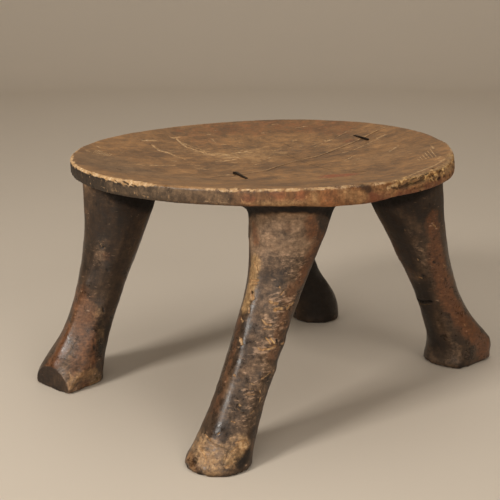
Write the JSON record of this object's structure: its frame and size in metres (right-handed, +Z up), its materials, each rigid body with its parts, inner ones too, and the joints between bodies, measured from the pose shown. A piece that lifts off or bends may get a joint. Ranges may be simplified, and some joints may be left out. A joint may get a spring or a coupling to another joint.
{
  "type": "carved stool",
  "caption": "Low round stool carved from one block of wood, with a shallow dished seat, splayed swelling legs and iron staples across a drying crack.",
  "frame": {"origin": "on the floor, at the middle of the whole stool's base box", "axes": "+Z up, out of the seat; -Y towards the front leg; +X towards the right leg, the stool's widest way"},
  "size_m": [0.4724, 0.4508, 0.2344],
  "materials": {
    "aged_wood": "hand-carved, dark aged and handled wood, polished by use on the legs and worn pale along the rim",
    "forged_iron": "hand-forged wrought iron, dark and dull"
  },
  "bodies": {
    "root": {"carved_stool": "aged_wood", "front_staple": "forged_iron", "rear_staple": "forged_iron"}
  },
  "joints": []
}
